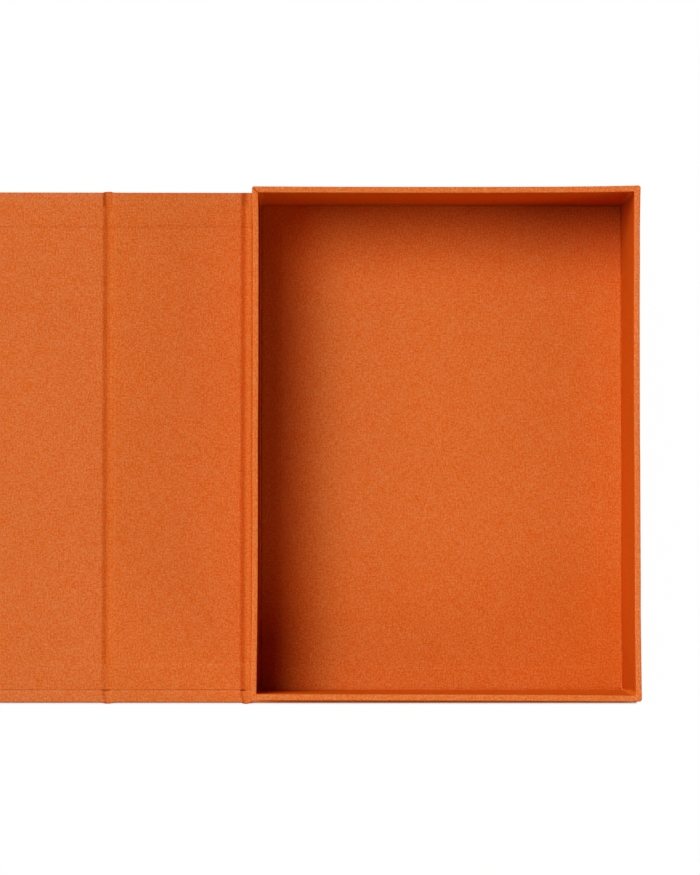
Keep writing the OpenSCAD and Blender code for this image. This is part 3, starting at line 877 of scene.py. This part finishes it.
class Nodes:
    """A short way to wire a material's nodes."""

    def __init__(self, name):
        self.material = bpy.data.materials.new(name)
        self.material.use_nodes = True
        self.tree = self.material.node_tree
        self.shader = self.tree.nodes["Principled BSDF"]

    def add(self, kind, inputs=None, **settings):
        node = self.tree.nodes.new(kind)
        for key, value in settings.items():
            setattr(node, key, value)
        for key, value in (inputs or {}).items():
            self.put(node.inputs[key], value)
        return node

    def put(self, socket, value):
        if isinstance(value, bpy.types.NodeSocket):
            self.tree.links.new(value, socket)
        else:
            socket.default_value = value

    def math(self, operation, a, b=0.0, c=0.0):
        node = self.add("ShaderNodeMath", {0: a, 1: b, 2: c}, operation=operation)
        return node.outputs[0]

    def noise(self, vector, scale, detail=2.0, roughness=0.5):
        inputs = {"Vector": vector, "Scale": scale, "Detail": detail, "Roughness": roughness}
        return self.add("ShaderNodeTexNoise", inputs, noise_dimensions="2D").outputs["Fac"]

    def mix(self, share, low, high):
        node = self.add("ShaderNodeMix", {0: share}, data_type="RGBA")
        self.put(node.inputs["A"], low)
        self.put(node.inputs["B"], high)
        return node.outputs["Result"]

    def product(self, colour, factors):
        return self.add("ShaderNodeVectorMath", {0: colour, 1: factors}, operation="MULTIPLY").outputs[0]

    def stretched(self, vector, x, y):
        scale = self.add("ShaderNodeVectorMath", {0: vector, 1: (x, y, 1)}, operation="MULTIPLY")
        return scale.outputs[0]


def bookcloth(name, base, pale, deep):
    """Plain-woven bookcloth: slubby threads both ways, pale fibres on top, deeper colour between."""
    n = Nodes(name)
    uv = n.add("ShaderNodeUVMap", uv_map="weave").outputs[0]
    thread = 0.45 * MM
    grain = n.stretched(uv, 0.96, 0.86)
    # Single crossings that stand out paler or deeper
    speck = n.noise(grain, 1 / (2.3 * thread), 0.7, 0.6)
    # Threads of uneven thickness: short streaks along the warp and along the weft
    warp = n.noise(n.stretched(uv, 1, 0.16), 1 / (1.7 * thread), 1.0)
    weft = n.noise(n.stretched(uv, 0.16, 1), 1 / (1.7 * thread), 1.0)
    # Slow change over the cloth
    cloud = n.noise(uv, 1 / 0.06, 2.0)
    patch = n.noise(uv, 1 / 0.011, 2.0)
    fibre = n.math("MULTIPLY_ADD", n.math("SUBTRACT", speck, 0.5), SPECK, 0.5)
    fibre = n.math("MULTIPLY_ADD", n.math("SUBTRACT", patch, 0.5), PATCH, fibre)
    fibre = n.math("MULTIPLY_ADD", n.math("SUBTRACT", warp, 0.5), STREAK, fibre)
    fibre = n.math("MULTIPLY_ADD", n.math("SUBTRACT", weft, 0.5), STREAK, fibre)
    ramp = n.add("ShaderNodeValToRGB", {"Fac": fibre})
    ramp.color_ramp.elements[0].position = 0.0
    ramp.color_ramp.elements[0].color = (*deep, 1)
    ramp.color_ramp.elements[1].position = 1.0
    ramp.color_ramp.elements[1].color = (*pale, 1)
    middle = ramp.color_ramp.elements.new(0.5)
    middle.color = (*base, 1)
    # Thick and thin threads catch more or less light
    body = n.noise(grain, 1 / (2.6 * thread), 0.7, 0.6)
    bright = n.math("MULTIPLY_ADD", n.math("SUBTRACT", body, 0.5), BODY, 1.0)
    bright = n.math("MULTIPLY_ADD", n.math("SUBTRACT", cloud, 0.5), CLOUD, bright)
    lit = n.add("ShaderNodeVectorMath", {0: ramp.outputs["Color"]}, operation="SCALE")
    n.put(lit.inputs["Scale"], bright)
    # Single threads are a little redder or greener than their neighbours
    mottle = n.add("ShaderNodeTexNoise", {"Vector": grain, "Scale": 1 / (2.1 * thread), "Detail": 0.5},
                   noise_dimensions="2D").outputs["Color"]
    tint = n.add("ShaderNodeVectorMath", {0: mottle, 1: TINT, 2: [1 - t / 2 for t in TINT]}, operation="MULTIPLY_ADD")
    # Colour factors laid on each point, holding the cloth's tone together with painted light and shade
    tone_and_painted_light = n.add("ShaderNodeAttribute", attribute_name="tone_and_painted_light").outputs["Vector"]
    toned_and_painted = n.product(n.product(lit.outputs[0], tint.outputs[0]), tone_and_painted_light)
    # Seen from the side the threads hide the pale gaps between them; on the tray's inner walls these side colours also
    # hold painted light and shade
    facing = n.add("ShaderNodeLayerWeight", {"Blend": 0.5}).outputs["Facing"]
    aside_and_painted_light = n.add("ShaderNodeAttribute", attribute_name="aside_and_painted_light").outputs["Vector"]
    n.put(n.shader.inputs["Base Color"], n.mix(n.math("POWER", facing, 2.0), toned_and_painted, n.product(toned_and_painted, aside_and_painted_light)))
    # The weave itself: each crossing is a small mound
    split = n.add("ShaderNodeSeparateXYZ", {0: uv})
    wave = [n.math("SINE", n.math("MULTIPLY", split.outputs[k], math.pi / thread)) for k in (0, 1)]
    crossing = n.math("ABSOLUTE", n.math("MULTIPLY", wave[0], wave[1]))
    relief = n.math("MULTIPLY_ADD", n.math("ADD", speck, body), 1.2, crossing)
    bump = n.add("ShaderNodeBump", {"Height": relief, "Distance": 0.05 * MM, "Strength": 0.6})
    n.put(n.shader.inputs["Normal"], bump.outputs[0])
    n.put(n.shader.inputs["Roughness"], n.math("MULTIPLY_ADD", speck, -0.15, 0.9))
    n.shader.inputs["Specular IOR Level"].default_value = 0.03
    return n.material


def greyboard():
    """Raw binder's board: grey pulp with darker and lighter flecks."""
    n = Nodes("greyboard")
    place = n.add("ShaderNodeTexCoord").outputs["Object"]
    pulp = n.add("ShaderNodeTexNoise", {"Vector": place, "Scale": 900.0, "Detail": 4.0}).outputs["Fac"]
    fleck = n.add("ShaderNodeTexVoronoi", {"Vector": place, "Scale": 420.0}).outputs["Distance"]
    mixed = n.math("MULTIPLY_ADD", fleck, 0.5, n.math("MULTIPLY", pulp, 0.7))
    ramp = n.add("ShaderNodeValToRGB", {"Fac": mixed})
    ramp.color_ramp.elements[0].position = 0.25
    ramp.color_ramp.elements[0].color = (0.2, 0.18, 0.155, 1)
    ramp.color_ramp.elements[1].position = 0.75
    ramp.color_ramp.elements[1].color = (0.38, 0.35, 0.3, 1)
    n.put(n.shader.inputs["Base Color"], ramp.outputs["Color"])
    n.put(n.shader.inputs["Roughness"], n.math("MULTIPLY_ADD", pulp, 0.2, 0.75))
    bump = n.add("ShaderNodeBump", {"Height": mixed, "Distance": 0.08 * MM, "Strength": 0.6})
    n.put(n.shader.inputs["Normal"], bump.outputs[0])
    return n.material


# Bookcloth colours: its threads, pale fibres and deep gaps
CLOTH_COLOURS = ((0.566, 0.128, 0.025), (0.576, 0.178, 0.058), (0.556, 0.085, 0.005))
SPECK = 1.6
STREAK = 0.76
PATCH = 0.3
BODY = 0.11
CLOUD = 0.05
TINT = (0.36, 0.1, 2.1)
MATERIALS = {
    "bookcloth": bookcloth("bookcloth", *CLOTH_COLOURS),
    "lining_cloth": bookcloth("lining_cloth", *CLOTH_COLOURS),
    "greyboard": greyboard(),
}


def make_case():
    """Outer cloth and lining of the case, in stretches that ride on its panels and stretches that lie over its joints.
    """
    tray, spine, cover = "tray_and_back", "spine", "front_cover"
    case_cloth("front_wrap", ["front_cover_cloth"], cover, FRONT_LOW.x, FRONT_HIGH.x, fore=-1)
    case_cloth("spine_wrap", ["spine_cover_cloth"], spine, SPINE_LOW.x, SPINE_HIGH.x)
    case_cloth("back_wrap", ["back_cover_cloth"], tray, BACK_LOW.x, BACK_HIGH.x, fore=1)
    case_lining("front_lining_sheet", ["front_lining"], cover, FRONT_LINING_LOW.x, FRONT_HIGH.x, cut_low=True)
    case_lining("spine_lining_sheet", ["spine_lining"], spine, SPINE_LOW.x, SPINE_HIGH.x)
    case_lining("back_lining_sheet", ["back_lining"], tray, BACK_LOW.x, TRAY_LOW.x, step_x=1 * MM)
    fine = 0.3 * MM
    joints = (
        ("cover_joint", FRONT_HIGH.x, SPINE_LOW.x, spine, cover, JOINTS["cover_hinge"]),
        ("spine_joint", SPINE_HIGH.x, BACK_LOW.x, tray, spine, JOINTS["spine_hinge"]),
    )
    for name, x0, x1, fixed, moving, axis in joints:
        strip = case_cloth(name + "_wrap", [name + "_cloth"], None, x0, x1, step_x=fine)
        sheet = case_lining(name + "_sheet", [name + "_lining"], None, x0, x1, step_x=fine)
        for piece in (strip, sheet):
            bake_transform(piece)


def finish_boards():
    """Material of the boards that the cloth covers."""
    for name, node in frame["nodes"].items():
        if name.endswith("_board") and not name.endswith("_wall_board"):
            node.data.materials.clear()
            node.data.materials.append(MATERIALS["greyboard"])


def make_floor():
    """A pale floor that looks white and keeps a faint shadow of the object."""
    half = 4.0
    mesh = bpy.data.meshes.new("floor")
    corners = [(-half, -half, 0), (half, -half, 0), (half, half, 0), (-half, half, 0)]
    mesh.from_pydata(corners, [], [(0, 1, 2, 3)])
    floor = bpy.data.objects.new("floor", mesh)
    floor.location.z = -0.2 * MM
    bpy.context.scene.collection.objects.link(floor)
    n = Nodes("floor")
    n.shader.inputs["Base Color"].default_value = (0.9, 0.9, 0.9, 1)
    n.shader.inputs["Roughness"].default_value = 0.9
    seen = n.add("ShaderNodeLightPath")
    direct = n.math("MAXIMUM", seen.outputs["Is Camera Ray"], seen.outputs["Is Transmission Ray"])
    white = n.add("ShaderNodeEmission", {"Color": (1, 1, 1, 1), "Strength": 1.0})
    # The shadow shows right beside the object and fades away from it
    middle = Vector(((FRONT_LOW.x + BACK_HIGH.x) / 2, 0, 0))
    reach = Vector((middle.x - FRONT_LOW.x, PANEL_HALF_L, 0))
    place = n.add("ShaderNodeTexCoord").outputs["Object"]
    offset = n.add("ShaderNodeVectorMath", {0: place, 1: middle}, operation="SUBTRACT")
    offset = n.add("ShaderNodeVectorMath", {0: offset.outputs[0]}, operation="ABSOLUTE")
    offset = n.add("ShaderNodeVectorMath", {0: offset.outputs[0], 1: reach}, operation="SUBTRACT")
    offset = n.add("ShaderNodeVectorMath", {0: offset.outputs[0], 1: (0, 0, 0)}, operation="MAXIMUM")
    away = n.add("ShaderNodeVectorMath", {0: offset.outputs[0]}, operation="LENGTH").outputs["Value"]
    fade = n.add("ShaderNodeMapRange", {"Value": away, "From Min": 0.0, "From Max": 1.2 * MM,
                                        "To Min": 0.25, "To Max": 0.995}, interpolation_type="SMOOTHSTEP")
    clear = fade.outputs["Result"]
    mixed = n.add("ShaderNodeMixShader", {0: n.math("MULTIPLY", direct, clear)})
    n.tree.links.new(n.shader.outputs[0], mixed.inputs[1])
    n.tree.links.new(white.outputs[0], mixed.inputs[2])
    output = n.tree.nodes["Material Output"]
    n.tree.links.new(mixed.outputs[0], output.inputs["Surface"])
    mesh.materials.append(n.material)


def make_light():
    """A large soft lamp above to the head and the spine side, its wide halo, a weak warm fill and surround."""
    for name, lean_x, lean_y, reach, strength, tint in LAMPS:
        data = bpy.data.lights.new(name, "SUN")
        data.angle = math.radians(2 * reach)
        data.energy = math.pi * strength
        data.color = tint
        lamp = bpy.data.objects.new(name, data)
        bpy.context.scene.collection.objects.link(lamp)
        toward = Vector((lean_x, lean_y, 1)).normalized()
        lamp.location = toward * 1.5
        lamp.rotation_euler = toward.to_track_quat("Z", "Y").to_euler()
    world = bpy.data.worlds.new("surround")
    bpy.context.scene.world = world
    world.use_nodes = True
    tree = world.node_tree
    paths = tree.nodes.new("ShaderNodeLightPath")
    dim = tree.nodes["Background"]
    dim.inputs["Color"].default_value = (*WARM, 1)
    dim.inputs["Strength"].default_value = SURROUND
    white = tree.nodes.new("ShaderNodeBackground")
    white.inputs["Color"].default_value = (1, 1, 1, 1)
    white.inputs["Strength"].default_value = 1.0
    mixed = tree.nodes.new("ShaderNodeMixShader")
    tree.links.new(paths.outputs["Is Camera Ray"], mixed.inputs[0])
    tree.links.new(dim.outputs[0], mixed.inputs[1])
    tree.links.new(white.outputs[0], mixed.inputs[2])
    tree.links.new(mixed.outputs[0], tree.nodes["World Output"].inputs["Surface"])


WARM = (1.0, 0.72, 0.45)
SURROUND = 0.072
# Name, lean towards +X and +Y as slopes, reach in degrees, strength, tint
LAMPS = (
    ("key", -0.424, 0.306, 16.2, 0.834, (1, 1, 1)),
    ("halo", -1.256, 0.2, 38.4, 0.422, (1, 1, 1)),
    ("fill", 1.04, -0.814, 13.9, 0.209, WARM),
)


def make_camera():
    """The photograph's camera: two metres above the open box, nearly straight down."""
    data = bpy.data.cameras.new("camera")
    image_height_px, focal_px, sensor = 875, 3083.24, 36.0
    data.sensor_width = sensor
    data.lens = sensor * focal_px / image_height_px
    data.clip_end = 20
    camera = bpy.data.objects.new("camera", data)
    bpy.context.scene.collection.objects.link(camera)
    tilt_x, tilt_y, roll = 2.0834, -0.5555, 0.0308
    turn = (
        Matrix.Rotation(math.radians(roll), 4, "Z")
        @ Matrix.Rotation(math.radians(tilt_y), 4, "Y")
        @ Matrix.Rotation(math.radians(tilt_x), 4, "X")
    )
    camera.matrix_world = Matrix.Translation((-0.08148, -0.06907, 2.08086)) @ turn
    bpy.context.scene.camera = camera


make_case()
tray_wrap()
tray_boards()
for lap_name, lap_sx, lap_sy in LAPS:
    corner_lap(lap_name, lap_sx, lap_sy)
tray_floor_lining()
finish_boards()
make_floor()
make_light()
make_camera()
bpy.context.scene.view_settings.view_transform = "Standard"
